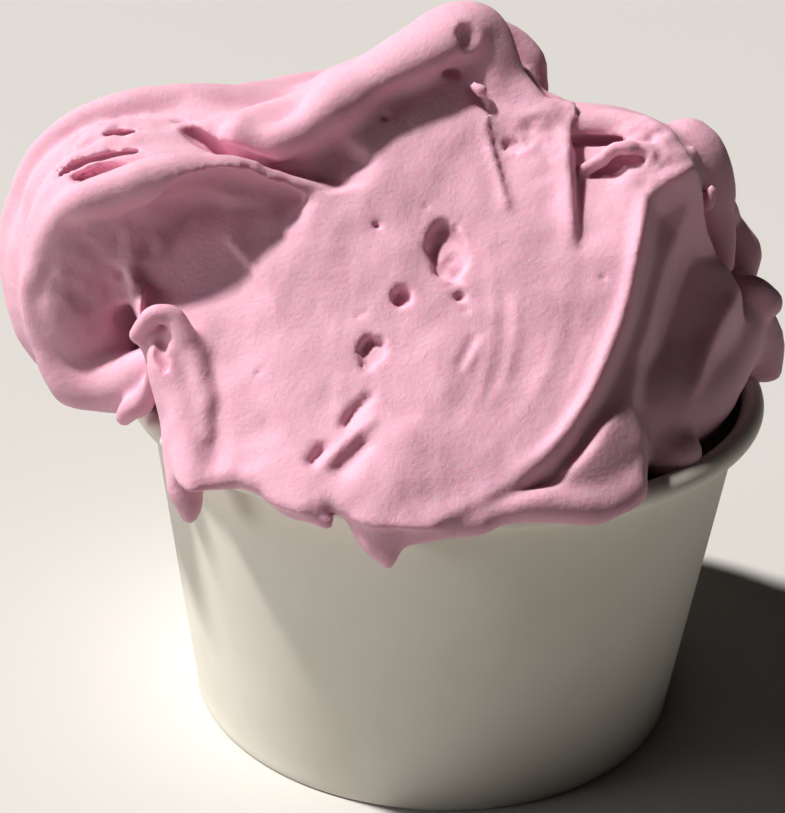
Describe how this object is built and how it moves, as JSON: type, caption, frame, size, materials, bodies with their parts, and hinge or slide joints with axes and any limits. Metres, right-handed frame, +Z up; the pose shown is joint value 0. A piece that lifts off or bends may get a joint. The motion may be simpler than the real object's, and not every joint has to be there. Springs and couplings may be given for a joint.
{
  "type": "gelato cup",
  "caption": "Round white paper cup with a rolled rim, filled and heaped high with spatula-spread berry gelato that drips over the front.",
  "frame": {"origin": "middle of the base of the whole's box, on the surface that the cup stands on", "axes": "+Z up along the cup's axis, which passes 7.1 mm to the right of the origin, -Y towards the smooth front face of the gelato, +X to its right"},
  "size_m": [0.1142, 0.0936, 0.1034],
  "materials": {
    "white_paper": "matt white coated paperboard",
    "berry_gelato": "soft frozen berry gelato, satin where it was smoothed and grainy where it was torn"
  },
  "bodies": {
    "root": {"paper_cup": "white_paper", "gelato": "berry_gelato"}
  },
  "joints": []
}
